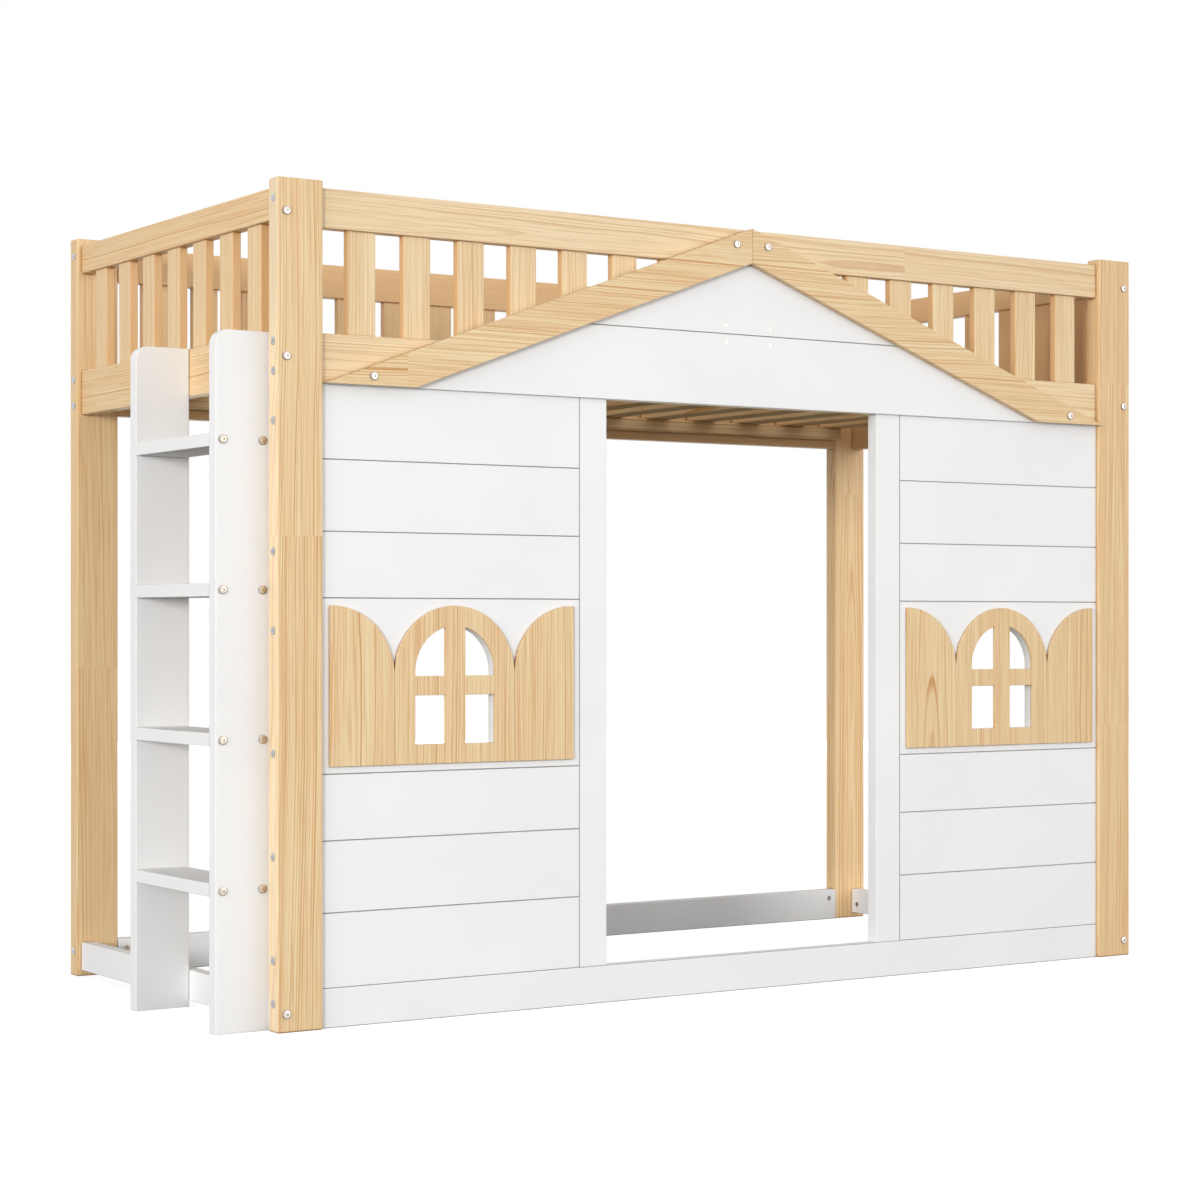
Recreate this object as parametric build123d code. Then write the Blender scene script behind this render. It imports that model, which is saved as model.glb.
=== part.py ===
from build123d import *
import math
import os

# House bunk bed, in millimetres. While it is built, X runs along the bed from the outer face of the
# left posts, Y runs back from the front face of the front posts, and Z is up from the floor.
# The finished pieces are then moved so that the origin is at the middle of the bed, on the floor.

# Mattress bay and posts
mattress_length = 2000.0
mattress_width = 900.0
post_width = 90.0
post_thickness = 38.0
post_rounding = 3.0

# Rails
rail_thickness = 28.0
rail_rounding = 2.0
bottom_rail_depth = 72.0
bottom_end_rail_depth = 58.0
bottom_end_rail_lift = 12.0
deck_rail_depth = 91.0
guard_opening_height = 190.0
top_rail_depth = 72.0
top_rail_drop = 12.0
top_end_rail_depth = 58.0
top_end_rail_drop = 14.0

# Balusters of the guard rail
baluster_width = 57.0
baluster_thickness = 17.0
baluster_rounding = 1.5
side_baluster_count = 16
end_baluster_count = 7

# House front: door jambs and boarded wall panels
door_width = 665.0
jamb_width = 62.0
jamb_rounding = 1.5
panel_thickness = 18.0
wide_board_height = 136.0
middle_board_height = 130.5
narrow_board_height = 120.5
window_panel_height = 319.0
groove_width = 2.0
groove_depth = 3.0

# Window trim, shutters and panes
trim_thickness = 6.0
trim_height = 292.0
window_frame_width = 257.0
shutter_side_gap = 16.75
shutter_flat = 3.0
frame_stile_width = 43.7
mullion_width = 42.7
transom_height = 35.7
sill_height = 36.0
lower_pane_height = 90.5
frame_head_height = 37.2

# Gable and roof boards
gable_thickness = 7.0
gable_lower_height = 142.0
gable_inset = 3.0
packer_length = 190.0
packer_end_gap = 11.0
roof_board_thickness = 15.0
roof_board_width = 64.5
roof_end_gap = 1.0

# Mattress deck
ledger_width = 28.0
ledger_height = 29.0
ledger_rise = 20.0
ledger_end_gap = 5.5
slat_count = 15
slat_width = 64.0
slat_thickness = 18.0
slat_end_gap = 40.5
slat_side_gap = 1.5
slat_rounding = 1.5

# Ladder
ladder_post_gap = 10.0
ladder_width = 382.0
ladder_depth = 108.5
ladder_rail_thickness = 28.0
ladder_corner_radius = 25.0
ladder_rounding = 1.5
tread_count = 4
tread_thickness = 24.0
first_tread_height = 255.3
tread_pitch = 268.4
tread_setback = 2.0

# Bolts, screws, barrel nuts and dowels
hole_clearance = 0.3
shank_radius = 3.0
bolt_head_radius = 8.0
bolt_head_height = 3.5
flat_head_radius = 7.5
flat_head_height = 2.0
key_width = 5.0
key_depth = 1.6
face_bolt_inset = 7.0
rail_bite = 28.0
panel_bite = 50.0
bottom_bolt_drop = 21.0
top_bolt_drop = 24.0
deck_bolt_spacing = 53.0
bottom_end_bolt_rise = 21.5
top_end_bolt_rise = 12.0
lower_panel_bolt_rise = 56.0
lower_panel_bolt_drop = 145.5
window_panel_bolt_rise = 40.0
window_panel_bolt_drop = 59.0
upper_panel_bolt_rise = 82.5
upper_panel_bolt_drop = 70.0
tread_bite = 40.0
ladder_front_bolt_inset = 13.5
ladder_back_bolt_inset = 17.0
ladder_fixing_bite = 30.0
ladder_fixing_drop = 16.0
roof_foot_bolt_inset = 96.0
roof_ridge_bolt_inset = 38.2
roof_bolt_drop = 19.0
roof_bite = 20.0
screw_head_radius = 3.8
screw_head_height = 0.6
screw_shank_radius = 2.0
screw_bite = 13.5
screw_half_spacing = 53.7
screw_joint_offset = 16.0
nut_radius = 5.5
nut_end_wall = 2.5
nut_setback = 20.0
nut_slot_width = 1.6
nut_slot_depth = 1.5
dowel_radius = 4.0
dowel_length = 40.0
dowel_half_spacing = 14.0

# Places worked out from the sizes above
frame_length = mattress_length + 2 * post_thickness
frame_width = mattress_width + 2 * post_thickness
middle = frame_length / 2
rail_face = post_thickness - rail_thickness
rail_left = post_width
rail_right = frame_length - post_width
boards_height = wide_board_height + middle_board_height + narrow_board_height
window_panel_bottom = bottom_rail_depth + boards_height
upper_panel_bottom = window_panel_bottom + window_panel_height
deck_bottom = upper_panel_bottom + boards_height
deck_top = deck_bottom + deck_rail_depth
top_rail_bottom = deck_top + guard_opening_height
top_rail_top = top_rail_bottom + top_rail_depth
post_height = top_rail_top + top_rail_drop
top_end_rail_bottom = post_height - top_end_rail_drop - top_end_rail_depth
rail_middle_depth = rail_face + rail_thickness / 2
baluster_face = rail_middle_depth - baluster_thickness / 2
bolt_depth = rail_face + panel_thickness / 2
jamb_outer = door_width / 2 + jamb_width
wall_width = middle - jamb_outer - rail_left
gable_face = rail_face - gable_thickness
roof_face = gable_face - roof_board_thickness
roof_run = middle - rail_left - roof_end_gap
roof_rise = top_rail_top - deck_bottom
roof_slope = roof_rise / roof_run
gable_joint = deck_bottom + gable_lower_height
trim_bottom = window_panel_bottom + (window_panel_height - trim_height) / 2
trim_top = trim_bottom + trim_height
trim_face = rail_face - trim_thickness
frame_radius = window_frame_width / 2
pane_reach = frame_radius - frame_stile_width
shutter_width = wall_width / 2 - frame_radius - shutter_side_gap
shutter_radius = shutter_width - shutter_flat
nut_length = rail_thickness - nut_end_wall
deck_level = deck_bottom + ledger_rise + ledger_height
ladder_front = post_thickness + ladder_post_gap
ladder_back = ladder_front + ladder_width
tread_heights = [first_tread_height + tread_pitch * step for step in range(tread_count)]

# Extents of the whole bed, for the move to the middle of the floor
left_reach = rail_face - ladder_depth
right_reach = frame_length + flat_head_height
front_reach = roof_face - bolt_head_height
back_reach = frame_width + bolt_head_height
to_origin = Pos(-(left_reach + right_reach) / 2, -(front_reach + back_reach) / 2, 0)

AT_BASE = (Align.CENTER, Align.CENTER, Align.MIN)
AT_TOP = (Align.CENTER, Align.CENTER, Align.MAX)
FORWARD = (0, -1, 0)
BACKWARD = (0, 1, 0)
LEFTWARD = (-1, 0, 0)
RIGHTWARD = (1, 0, 0)
UPWARD = (0, 0, 1)


def block(low, high):
    """A box between its lowest and highest corners."""
    size = [top - bottom for bottom, top in zip(low, high)]
    return Pos(*low) * Box(*size, align=Align.MIN)


def eased(piece, axes, radius):
    """The piece with its edges along the given axes rounded."""
    edges = [edge for axis in axes for edge in piece.edges().filter_by(axis)]
    return fillet(edges, radius)


def rod(start, facing, length, radius):
    """A cylinder from a point, the way it faces."""
    return Plane(origin=start, z_dir=facing) * Cylinder(radius, length, align=AT_BASE)


def front_sheet(points, front, back):
    """A flat sheet with an outline in X and Z, between two depths."""
    face = Plane.XZ * make_face(Polyline(*points, close=True))
    return Pos(0, front, 0) * extrude(face, amount=front - back)


def group(pieces):
    """Separate solids kept together in one sub-part."""
    return Compound([piece.solid() for piece in pieces])


def mirrored(place):
    """The same place on the other half of the bed, left for right."""
    return (frame_length - place[0], place[1], place[2])


def rearward(place):
    """The same place on the other long side, front for back."""
    return (place[0], frame_width - place[1], place[2])


class Fixing:
    """A bolt: its seat, the way its head faces, how deep it reaches and the size of its head."""

    radius = shank_radius

    def __init__(self, seat, facing, reach, head_radius, head_height):
        self.seat = seat
        self.facing = facing
        self.reach = reach
        self.head_radius = head_radius
        self.head_height = head_height

    def placed(self, shape):
        """The shape moved from the origin to the seat, with up turned the way the head faces."""
        return Plane(origin=self.seat, z_dir=self.facing) * shape

    def head(self):
        """Round head with an eased rim."""
        head = Cylinder(self.head_radius, self.head_height, align=AT_BASE)
        return fillet(head.edges().group_by(Axis.Z)[-1], self.head_height / 2)

    def socket(self):
        """Six-sided key socket in the head."""
        key = RegularPolygon(key_width / 2, 6, major_radius=False)
        return extrude(Pos(0, 0, self.head_height) * key, amount=-key_depth)

    def solid(self):
        """Head with its socket, and a plain shank."""
        shank = Cylinder(self.radius, self.reach, align=AT_TOP)
        return self.placed(self.head() - self.socket() + shank)

    def bore(self):
        """The clearance hole for the shank, a little deeper than the shank."""
        depth = self.reach + hole_clearance
        return self.placed(Cylinder(self.radius + hole_clearance, depth, align=AT_TOP))


class Screw(Fixing):
    """A thin wood screw whose low head is filled flat, without a socket."""

    radius = screw_shank_radius

    def solid(self):
        """Plain low head and a thin shank."""
        return self.placed(self.head() + Cylinder(self.radius, self.reach, align=AT_TOP))


def four_corners(seat, facing):
    """A seat and its facing on the front left post, repeated on all four posts."""
    x, y, z = facing
    return [
        (seat, (x, y, z)),
        (mirrored(seat), (-x, y, z)),
        (rearward(seat), (x, -y, z)),
        (mirrored(rearward(seat)), (-x, -y, z)),
    ]


def post_face_bolts():
    """Bolts through the posts' front and rear faces, into the end rails."""
    heights = [
        bottom_end_rail_lift + bottom_end_bolt_rise,
        deck_bottom + deck_rail_depth / 2,
        top_end_rail_bottom + top_end_bolt_rise,
    ]
    corners = [c for z in heights for c in four_corners((rail_face + face_bolt_inset, 0, z), FORWARD)]
    return [
        Fixing(seat, facing, post_thickness + rail_bite, bolt_head_radius, bolt_head_height)
        for seat, facing in corners
    ]


def post_end_bolts():
    """Bolts through the posts' end faces, into the long rails."""
    deck_middle = deck_bottom + deck_rail_depth / 2
    heights = [
        bottom_rail_depth - bottom_bolt_drop,
        deck_middle - deck_bolt_spacing / 2,
        deck_middle + deck_bolt_spacing / 2,
        top_rail_top - top_bolt_drop,
    ]
    corners = [c for z in heights for c in four_corners((0, bolt_depth, z), LEFTWARD)]
    return [
        Fixing(seat, facing, post_width + rail_bite, flat_head_radius, flat_head_height)
        for seat, facing in corners
    ]


def wall_panel_bolts():
    """Bolts through the front posts' end faces, into the wall panels, two to a panel."""
    heights = [
        bottom_rail_depth + lower_panel_bolt_rise,
        window_panel_bottom - lower_panel_bolt_drop,
        window_panel_bottom + window_panel_bolt_rise,
        upper_panel_bottom - window_panel_bolt_drop,
        upper_panel_bottom + upper_panel_bolt_rise,
        deck_bottom - upper_panel_bolt_drop,
    ]
    corners = [c for z in heights for c in four_corners((0, bolt_depth, z), LEFTWARD)[:2]]
    return [
        Fixing(seat, facing, post_width + panel_bite, flat_head_radius, flat_head_height)
        for seat, facing in corners
    ]


def ladder_bolts():
    """Two bolts through each ladder rail into the end of each tread."""
    bolts = []
    reach = ladder_rail_thickness + tread_bite
    for height in tread_heights:
        for across in (left_reach + ladder_front_bolt_inset, rail_face - ladder_back_bolt_inset):
            for depth, facing in ((ladder_front, FORWARD), (ladder_back, BACKWARD)):
                seat = (across, depth, height)
                bolts.append(Fixing(seat, facing, reach, bolt_head_radius, bolt_head_height))
    return bolts


def ladder_fixing_bolts():
    """Bolts from inside the bed, through the left end rails, into the edges of the ladder rails."""
    bolts = []
    reach = rail_thickness + ladder_fixing_bite
    for height in (
        bottom_end_rail_lift + bottom_end_rail_depth - ladder_fixing_drop,
        deck_top - ladder_fixing_drop,
    ):
        for depth in (
            ladder_front + ladder_rail_thickness / 2,
            ladder_back - ladder_rail_thickness / 2,
        ):
            seat = (post_thickness, depth, height)
            bolts.append(Fixing(seat, RIGHTWARD, reach, flat_head_radius, flat_head_height))
    return bolts


def roof_bolts():
    """Bolts through the roof boards and gable, into the deck rail and the top rail."""
    bolts = []
    reach = roof_board_thickness + gable_thickness + roof_bite
    for side in (-1, 1):
        for run in (roof_run - roof_foot_bolt_inset, roof_ridge_bolt_inset):
            height = top_rail_top - run * roof_slope - roof_bolt_drop
            seat = (middle + side * run, roof_face, height)
            bolts.append(Fixing(seat, FORWARD, reach, bolt_head_radius, bolt_head_height))
    return bolts


def gable_screws():
    """Four screws that hold the two gable sheets to the packer and the middle balusters."""
    reach = baluster_face - gable_face + screw_bite
    seats = [
        (middle + side * screw_half_spacing, gable_face, gable_joint + level * screw_joint_offset)
        for side in (-1, 1)
        for level in (-1, 1)
    ]
    return [Screw(seat, FORWARD, reach, screw_head_radius, screw_head_height) for seat in seats]


FACE_BOLTS = post_face_bolts()
END_BOLTS = post_end_bolts()
PANEL_BOLTS = wall_panel_bolts()
TREAD_BOLTS = ladder_bolts()
LADDER_FIXINGS = ladder_fixing_bolts()
ROOF_BOLTS = roof_bolts()
GABLE_SCREWS = gable_screws()


def drilled(piece, *sets):
    """The piece with a clearance hole for every fixing in the given sets."""
    return (piece - [fixing.bore() for fixings in sets for fixing in fixings]).solid()


def nut_seats():
    """Plane at the open end of each barrel nut, on the inner faces of the bottom rails."""
    long_height = bottom_rail_depth - bottom_bolt_drop
    end_height = bottom_end_rail_lift + bottom_end_bolt_rise
    corners = four_corners((rail_left + nut_setback, post_thickness, long_height), BACKWARD)
    corners += four_corners((post_thickness, post_thickness + nut_setback, end_height), RIGHTWARD)
    return [Plane(origin=seat, z_dir=facing) for seat, facing in corners]


def barrel_nuts():
    """Slotted round nuts across the bottom rails, each with a cross hole for its bolt."""
    nuts = []
    bores = [bolt.bore() for bolt in FACE_BOLTS + END_BOLTS]
    for seat in nut_seats():
        slot = Box(2 * nut_radius, nut_slot_width, 2 * nut_slot_depth)
        body = Cylinder(nut_radius, nut_length, align=AT_TOP) - slot
        nuts.append(seat * body - bores)
    return nuts


def nut_bores():
    """Blind holes that the barrel nuts sit in."""
    depth = nut_length + hole_clearance
    hole = Cylinder(nut_radius + hole_clearance, depth, align=AT_TOP)
    return [seat * hole for seat in nut_seats()]


def posts():
    """Four upright posts with rounded edges."""
    made = {}
    for row, front in (("front", 0), ("rear", frame_width - post_thickness)):
        for side, left in (("left", 0), ("right", frame_length - post_width)):
            high = (left + post_width, front + post_thickness, post_height)
            post = eased(block((left, front, 0), high), (Axis.X, Axis.Y, Axis.Z), post_rounding)
            made[f"{row}_{side}_post"] = drilled(post, FACE_BOLTS, END_BOLTS, PANEL_BOLTS)
    return made


def long_rail(front, bottom, depth):
    """One rail of a long side, from post to post, with its long edges rounded."""
    high = (rail_right, front + rail_thickness, bottom + depth)
    return eased(block((rail_left, front, bottom), high), (Axis.X,), rail_rounding)


def end_rail(left, bottom, depth):
    """One rail of an end, from post to post, with its long edges rounded."""
    low = (left, post_thickness, bottom)
    high = (left + rail_thickness, frame_width - post_thickness, bottom + depth)
    return eased(block(low, high), (Axis.Y,), rail_rounding)


def rails():
    """Twelve rails: bottom, deck and top on each of the four sides."""
    made = {}
    long_levels = {
        "bottom": (0, bottom_rail_depth),
        "deck": (deck_bottom, deck_rail_depth),
        "top": (top_rail_bottom, top_rail_depth),
    }
    end_levels = {
        "bottom": (bottom_end_rail_lift, bottom_end_rail_depth),
        "deck": (deck_bottom, deck_rail_depth),
        "top": (top_end_rail_bottom, top_end_rail_depth),
    }
    holes = nut_bores() + dowel_holes()
    for row, front in (("front", rail_face), ("rear", frame_width - post_thickness)):
        for level, (bottom, depth) in long_levels.items():
            rail = drilled(long_rail(front, bottom, depth), END_BOLTS, ROOF_BOLTS)
            made[f"{row}_{level}_rail"] = (rail - holes).solid()
    for side, left in (("left", rail_face), ("right", frame_length - post_thickness)):
        for level, (bottom, depth) in end_levels.items():
            rail = drilled(end_rail(left, bottom, depth), FACE_BOLTS, LADDER_FIXINGS)
            made[f"{side}_{level}_rail"] = (rail - holes).solid()
    return made


def spread(first, last, width, count):
    """Lower edges of evenly spaced pieces, with equal gaps between them and at both ends."""
    gap = (last - first - width * count) / (count + 1)
    return [first + gap + (width + gap) * index for index in range(count)]


def baluster_groups():
    """Upright balusters between the deck rails and the top rails, one group to a side."""
    made = {}
    far = baluster_face + baluster_thickness
    for row, front in (("front", baluster_face), ("rear", frame_width - far)):
        row_pieces = []
        for left in spread(rail_left, rail_right, baluster_width, side_baluster_count):
            low = (left, front, deck_top)
            high = (left + baluster_width, front + baluster_thickness, top_rail_bottom)
            piece = eased(block(low, high), (Axis.Z,), baluster_rounding)
            row_pieces.append(drilled(piece, GABLE_SCREWS))
        made[f"{row}_balusters"] = group(row_pieces)
    for side, left in (("left", baluster_face), ("right", frame_length - far)):
        side_pieces = []
        near, back = post_thickness, frame_width - post_thickness
        for front in spread(near, back, baluster_width, end_baluster_count):
            low = (left, front, deck_top)
            high = (left + baluster_thickness, front + baluster_width, top_end_rail_bottom)
            side_pieces.append(eased(block(low, high), (Axis.Z,), baluster_rounding))
        made[f"{side}_balusters"] = group(side_pieces)
    return made


def dowel_at(across, level):
    """One upright dowel, centred on the joint at the given level."""
    seat = (across, rail_middle_depth, level - dowel_length / 2)
    return rod(seat, UPWARD, dowel_length, dowel_radius)


def dowel_holes():
    """Holes for the jamb dowels, a clearance wider and longer than they are."""
    length = dowel_length + 2 * hole_clearance
    radius = dowel_radius + hole_clearance
    seats = [(across, rail_middle_depth, level - length / 2) for across, level in dowel_places()]
    return [rod(seat, UPWARD, length, radius) for seat in seats]


def dowel_places():
    """X and joint level of each dowel, two at each end of each jamb."""
    return [
        (middle + side * (door_width + jamb_width) / 2 + step * dowel_half_spacing, level)
        for side in (-1, 1)
        for level in (bottom_rail_depth, deck_bottom)
        for step in (-1, 1)
    ]


def jambs():
    """Two uprights that stand on the bottom rail and frame the doorway."""
    made = {}
    for side, left in (("left", middle - jamb_outer), ("right", middle + door_width / 2)):
        low = (left, rail_face, bottom_rail_depth)
        high = (left + jamb_width, post_thickness, deck_bottom)
        jamb = eased(block(low, high), (Axis.Z,), jamb_rounding)
        made[f"{side}_door_jamb"] = (jamb - dowel_holes()).solid()
    made["jamb_dowels"] = group([dowel_at(*place) for place in dowel_places()])
    return made


def wall_lefts():
    """Left edge of each boarded wall, beside the posts."""
    return (("left", rail_left), ("right", middle + jamb_outer))


def board_lines():
    """Levels of the grooves between boards, and of the joints between panels."""
    return [
        bottom_rail_depth,
        bottom_rail_depth + wide_board_height,
        bottom_rail_depth + wide_board_height + middle_board_height,
        window_panel_bottom,
        upper_panel_bottom,
        upper_panel_bottom + narrow_board_height,
        upper_panel_bottom + narrow_board_height + middle_board_height,
    ]


def wall_grooves(left):
    """Shallow cuts across a wall at each board line, and down its joint with the jamb."""
    back = rail_face + groove_depth
    cuts = []
    for level in board_lines():
        low = (left, rail_face, level - groove_width / 2)
        cuts.append(block(low, (left + wall_width, back, level + groove_width / 2)))
    joint = left + wall_width if left < middle else left
    low = (joint - groove_width / 2, rail_face, bottom_rail_depth)
    cuts.append(block(low, (joint + groove_width / 2, back, deck_bottom)))
    return cuts


def window_arch(centre, front, back):
    """Arched opening in the wall, as wide and high as the four panes together."""
    lower = trim_bottom + sill_height
    arc_centre = trim_top - frame_head_height - pane_reach
    crown = rod((centre, back, arc_centre), FORWARD, back - front, pane_reach)
    legs = block((centre - pane_reach, front, lower), (centre + pane_reach, back, arc_centre))
    return crown + legs


def pane_holes(centre):
    """Four panes in the trim: two square below the transom, two round-topped above it."""
    lower = trim_bottom + sill_height
    upper = lower + lower_pane_height + transom_height
    arch = window_arch(centre, trim_face, rail_face)
    holes = []
    for side in (-1, 1):
        inner = side * mullion_width / 2
        outer = side * pane_reach
        low_x, high_x = sorted((centre + inner, centre + outer))
        low = (low_x, trim_face, lower)
        holes.append(block(low, (high_x, rail_face, lower + lower_pane_height)))
        low = (low_x, trim_face, upper)
        holes.append(block(low, (high_x, rail_face, trim_top)) & arch)
    return holes


def window_centre(left):
    """Middle of the window in the wall with the given left edge."""
    return left + wall_width / 2


def wall_panels():
    """Three white panels to each side of the door, the middle one holed for the window."""
    made = {}
    levels = {
        "lower": (bottom_rail_depth, window_panel_bottom),
        "window": (window_panel_bottom, upper_panel_bottom),
        "upper": (upper_panel_bottom, deck_bottom),
    }
    for side, left in wall_lefts():
        for level, (bottom, top) in levels.items():
            back = rail_face + panel_thickness
            panel = block((left, rail_face, bottom), (left + wall_width, back, top))
            panel -= wall_grooves(left)
            panel -= window_arch(window_centre(left), rail_face, back)
            made[f"{side}_{level}_panel"] = drilled(panel, PANEL_BOLTS)
    return made


def window_frame(centre):
    """Round-topped window frame with four panes."""
    spring = trim_top - frame_radius
    low = (centre - frame_radius, trim_face, trim_bottom)
    body = block(low, (centre + frame_radius, rail_face, spring))
    crown = rod((centre, rail_face, spring), FORWARD, trim_thickness, frame_radius)
    return (body + crown - pane_holes(centre)).solid()


def shutter(centre, side):
    """Fixed shutter whose top falls in a quarter round towards the window frame."""
    inner = centre + side * frame_radius
    crest = inner + side * shutter_radius
    outer = inner + side * shutter_width
    with BuildSketch(Plane.XZ) as outline:
        with BuildLine():
            sides = Polyline(
                (crest, trim_top),
                (outer, trim_top),
                (outer, trim_bottom),
                (inner, trim_bottom),
                (inner, trim_top - shutter_radius),
            )
            RadiusArc(sides @ 1, sides @ 0, side * shutter_radius)
        make_face()
    return (Pos(0, trim_face, 0) * extrude(outline.sketch, amount=-trim_thickness)).solid()


def windows():
    """Pine window frame and a fixed shutter each side of it, on each wall."""
    made = {}
    for side, left in wall_lefts():
        centre = window_centre(left)
        made[f"{side}_window_frame"] = window_frame(centre)
        made[f"{side}_window_left_shutter"] = shutter(centre, -1)
        made[f"{side}_window_right_shutter"] = shutter(centre, 1)
    return made


def roof_line(drop, level):
    """Half-width of the gable at a level, on a line a given height below the upper roof line."""
    return (top_rail_top - drop - level) / roof_slope


def gable():
    """Two white sheets, a lower and an upper one, and the packer behind their joint."""
    drop = gable_inset * math.hypot(1, roof_slope)
    levels = {"lower": (deck_bottom, gable_joint), "upper": (gable_joint, top_rail_top - drop)}
    line = block(
        (rail_left, gable_face, gable_joint - groove_width / 2),
        (rail_right, gable_face + groove_depth, gable_joint + groove_width / 2),
    )
    made = {}
    for name, (bottom, top) in levels.items():
        wide = roof_line(drop, bottom)
        narrow = roof_line(drop, top)
        points = [(middle - wide, bottom), (middle + wide, bottom), (middle + narrow, top)]
        if narrow > 0:
            points.append((middle - narrow, top))
        sheet = front_sheet(points, gable_face, rail_face) - line
        made[f"gable_{name}_sheet"] = drilled(sheet, ROOF_BOLTS, GABLE_SCREWS)
    low = (middle - packer_length / 2, rail_face, deck_top + packer_end_gap)
    high = (middle + packer_length / 2, baluster_face, top_rail_bottom - packer_end_gap)
    made["gable_packer"] = drilled(block(low, high), GABLE_SCREWS)
    return made


def roof_boards():
    """Two sloping boards that meet on a plumb joint at the ridge."""
    drop = roof_board_width * math.hypot(1, roof_slope)
    made = {}
    for name, side in (("left", -1), ("right", 1)):
        points = [
            (middle, top_rail_top),
            (middle + side * roof_run, deck_bottom),
            (middle + side * roof_line(drop, deck_bottom), deck_bottom),
            (middle, top_rail_top - drop),
        ]
        board = front_sheet(points, roof_face, gable_face)
        made[f"{name}_roof_board"] = drilled(board, ROOF_BOLTS)
    return made


def mattress_deck():
    """A ledger along each deck rail, and the slats that lie across them."""
    made = {}
    bottom = deck_bottom + ledger_rise
    rear_front = frame_width - post_thickness - ledger_width
    for row, front in (("front", post_thickness), ("rear", rear_front)):
        low = (rail_left + ledger_end_gap, front, bottom)
        high = (rail_right - ledger_end_gap, front + ledger_width, deck_level)
        made[f"{row}_slat_ledger"] = eased(block(low, high), (Axis.X,), slat_rounding).solid()
    first = post_thickness + slat_end_gap
    last = frame_length - post_thickness - slat_end_gap - slat_width
    pitch = (last - first) / (slat_count - 1)
    slats = []
    for index in range(slat_count):
        left = first + pitch * index
        low = (left, post_thickness + slat_side_gap, deck_level)
        back = frame_width - post_thickness - slat_side_gap
        slat = block(low, (left + slat_width, back, deck_level + slat_thickness))
        slats.append(eased(slat, (Axis.Y,), slat_rounding))
    made["bed_slats"] = group(slats)
    return made


def ladder():
    """Two upright ladder rails against the left end, and four treads between them."""
    made = {}
    for name, front in (("front", ladder_front), ("rear", ladder_back - ladder_rail_thickness)):
        low = (left_reach, front, 0)
        rail = block(low, (rail_face, front + ladder_rail_thickness, deck_top))
        corner = rail.edges().filter_by(Axis.Y).group_by(Axis.Z)[-1].sort_by(Axis.X)[0]
        rail = fillet(corner, ladder_corner_radius)
        outer = rail.edges().filter_by(Axis.Z)
        rail = fillet(outer, ladder_rounding)
        made[f"ladder_{name}_rail"] = drilled(rail, TREAD_BOLTS, LADDER_FIXINGS)
    for index, height in enumerate(tread_heights, start=1):
        low = (left_reach, ladder_front + ladder_rail_thickness, height - tread_thickness / 2)
        back = ladder_back - ladder_rail_thickness
        high = (rail_face - tread_setback, back, height + tread_thickness / 2)
        tread = eased(block(low, high), (Axis.Y,), ladder_rounding)
        made[f"ladder_tread_{index}"] = drilled(tread, TREAD_BOLTS)
    return made


def fasteners():
    """Bolts, screws and nuts, each kind kept together."""
    return {
        "post_face_bolts": group([bolt.solid() for bolt in FACE_BOLTS]),
        "post_end_bolts": group([bolt.solid() for bolt in END_BOLTS + PANEL_BOLTS]),
        "ladder_bolts": group([bolt.solid() for bolt in TREAD_BOLTS + LADDER_FIXINGS]),
        "roof_bolts": group([bolt.solid() for bolt in ROOF_BOLTS]),
        "gable_screws": group([screw.solid() for screw in GABLE_SCREWS]),
        "barrel_nuts": group(barrel_nuts()),
    }


def main():
    """Build every sub-part, move it to the middle of the floor and write it out."""
    os.makedirs("parts", exist_ok=True)
    for build in (
        posts,
        rails,
        baluster_groups,
        jambs,
        wall_panels,
        windows,
        gable,
        roof_boards,
        mattress_deck,
        ladder,
        fasteners,
    ):
        for name, piece in build().items():
            export_step(to_origin * piece, f"parts/{name}.step")
            print(name)


main()
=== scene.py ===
"""House bunk bed: its finishes, its bolt heads, and the studio it is photographed in.

Lengths are in metres, apart from those of the camera's lens.
"""

import logging
import math
from dataclasses import dataclass, field, replace
from enum import Enum

import bmesh
import bpy
from mathutils import Matrix, Vector


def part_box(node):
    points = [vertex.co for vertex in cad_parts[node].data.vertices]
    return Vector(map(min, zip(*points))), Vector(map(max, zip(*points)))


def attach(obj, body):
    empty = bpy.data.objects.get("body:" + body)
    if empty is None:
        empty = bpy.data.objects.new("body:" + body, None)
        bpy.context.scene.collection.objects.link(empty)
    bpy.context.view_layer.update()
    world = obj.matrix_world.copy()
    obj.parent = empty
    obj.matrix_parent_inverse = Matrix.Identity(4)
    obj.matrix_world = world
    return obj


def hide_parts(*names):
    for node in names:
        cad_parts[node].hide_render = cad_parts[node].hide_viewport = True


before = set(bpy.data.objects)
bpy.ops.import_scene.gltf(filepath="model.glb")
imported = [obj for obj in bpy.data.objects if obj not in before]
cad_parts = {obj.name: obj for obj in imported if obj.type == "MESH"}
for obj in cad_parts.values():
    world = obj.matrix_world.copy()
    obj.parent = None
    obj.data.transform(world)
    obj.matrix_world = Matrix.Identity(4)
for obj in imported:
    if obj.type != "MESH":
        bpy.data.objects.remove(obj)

NODES: dict[str, bpy.types.Object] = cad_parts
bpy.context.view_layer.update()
SIXTH = math.radians(60)
Socket = bpy.types.NodeSocket
Colour = tuple[float, float, float, float]
# The range of a value, and what it becomes at the two ends if not 0 and 1.
Ramp = tuple[float, ...]
# The frequency of a noise and its number of finer octaves.
Noise = tuple[float, float]
# The depth of a texture, and how much of it shows.
Relief = tuple[float, float]
# Points of a bolt, as a distance from its axis, a height and a share of painted shade.
Section = tuple[tuple[float, float, float], ...]


class Axis(Enum):
    """An axis of the bed: along it, from front to back, or upright."""

    ALONG = 0
    BACK = 1
    UP = 2


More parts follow.
